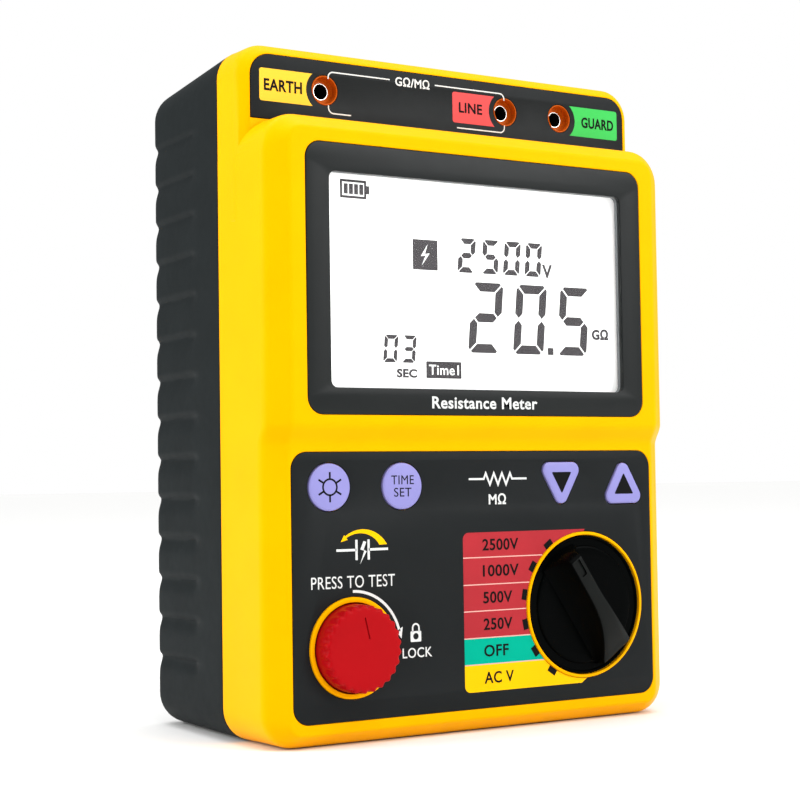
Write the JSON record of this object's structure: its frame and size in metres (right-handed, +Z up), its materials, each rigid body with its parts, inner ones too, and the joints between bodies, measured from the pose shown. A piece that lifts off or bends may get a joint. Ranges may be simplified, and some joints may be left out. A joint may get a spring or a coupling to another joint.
{
  "type": "insulation resistance tester",
  "caption": "Hand-held insulation tester with a stepped case, recessed display, selector knob, push-and-twist test button, keys and recessed sockets.",
  "frame": {"origin": "under the middle of the outer box, on the bottom face", "axes": "+X to the right seen from the front, +Y from the front to the back, +Z up"},
  "size_m": [0.1466, 0.0934, 0.2032],
  "materials": {
    "yellow_shell": "satin",
    "dark_shell": "satin",
    "panel_plate": "satin",
    "clear_lens": "polished",
    "lcd_glass": "gloss",
    "light_guide": "satin",
    "insulator": "gloss",
    "brass_parts": "polished",
    "steel_parts": "satin",
    "circuit_board": "satin",
    "black_component": "matte",
    "lavender_key": "satin",
    "black_gloss": "gloss",
    "rotor_plastic": "satin",
    "wafer_laminate": "matte",
    "red_cap": "satin",
    "ferrite": "matte",
    "winding": "satin",
    "potting": "satin",
    "capacitor_coat": "satin",
    "relay_white": "satin",
    "fuse_glass": "polished",
    "cell_wrap": "satin",
    "foot_rubber": "matte",
    "wire_jacket": "satin"
  },
  "bodies": {
    "case": {"front_case": "yellow_shell", "rear_case": "dark_shell", "display_bezel": "panel_plate", "control_panel": "panel_plate", "terminal_panel": "panel_plate", "lcd_window": "clear_lens", "lcd_module": "lcd_glass", "lcd_backlight": "light_guide", "socket_body_earth": "insulator", "socket_body_line": "insulator", "socket_body_guard": "insulator", "socket_sleeve_earth": "brass_parts", "socket_sleeve_line": "brass_parts", "socket_sleeve_guard": "brass_parts", "fuse_clips": "brass_parts", "socket_nuts": "steel_parts", "board_screws": "steel_parts", "detent_ball": "steel_parts", "detent_spring": "steel_parts", "battery_contacts": "steel_parts", "case_screws": "steel_parts", "front_board": "circuit_board", "hv_board": "circuit_board", "key_switches": "black_component", "test_switch": "black_component", "switch_housing": "black_component", "buzzer": "black_component", "battery_tray": "black_component", "switch_wafer": "wafer_laminate", "hv_transformer": "ferrite", "transformer_winding": "winding", "hv_multiplier": "potting", "hv_capacitors": "capacitor_coat", "discharge_relay": "relay_white", "fuse": "fuse_glass", "cell_1": "cell_wrap", "cell_2": "cell_wrap", "cell_3": "cell_wrap", "cell_4": "cell_wrap", "cell_5": "cell_wrap", "cell_6": "cell_wrap", "cell_7": "cell_wrap", "cell_8": "cell_wrap", "rear_feet": "foot_rubber", "wiring": "wire_jacket"},
    "knob": {"rotary_knob": "black_gloss", "switch_shaft": "steel_parts", "switch_rotor": "rotor_plastic", "switch_wiper": "brass_parts"},
    "test_plunger": {"test_plunger": "rotor_plastic", "test_clip": "steel_parts", "test_spring": "steel_parts"},
    "test_cap": {"test_cap": "red_cap"},
    "battery_cover": {"battery_cover": "dark_shell", "cover_screws": "steel_parts"},
    "key_light": {"key_light": "lavender_key"},
    "key_time": {"key_time": "lavender_key"},
    "key_down": {"key_down": "lavender_key"},
    "key_up": {"key_up": "lavender_key"}
  },
  "joints": [
    {"name": "knob_turn", "type": "hinge", "parent": "case", "child": "knob", "pos_m": [0.0384, -0.0382, 0.0359], "axis": [0, -1, 0], "range_deg": [0, 112.5]},
    {"name": "test_press", "type": "slide", "parent": "case", "child": "test_plunger", "axis": [0, 1, 0], "range_m": [0, 0.004], "stiffness_N_per_m": 800, "springref_m": -0.0015, "deforming": ["test_spring"]},
    {"name": "test_twist", "type": "hinge", "parent": "test_plunger", "child": "test_cap", "pos_m": [-0.0458, -0.0382, 0.0276], "axis": [0, 1, 0], "range_deg": [0, 90]},
    {"name": "cover_off", "type": "slide", "parent": "case", "child": "battery_cover", "axis": [0, 1, 0], "range_m": [0, 0.06]},
    {"name": "key_light_press", "type": "slide", "parent": "case", "child": "key_light", "axis": [0, 1, 0], "range_m": [0, 0.0006], "stiffness_N_per_m": 800, "springref_m": -0.0008},
    {"name": "key_time_press", "type": "slide", "parent": "case", "child": "key_time", "axis": [0, 1, 0], "range_m": [0, 0.0006], "stiffness_N_per_m": 800, "springref_m": -0.0008},
    {"name": "key_down_press", "type": "slide", "parent": "case", "child": "key_down", "axis": [0, 1, 0], "range_m": [0, 0.0006], "stiffness_N_per_m": 800, "springref_m": -0.0008},
    {"name": "key_up_press", "type": "slide", "parent": "case", "child": "key_up", "axis": [0, 1, 0], "range_m": [0, 0.0006], "stiffness_N_per_m": 800, "springref_m": -0.0008}
  ]
}
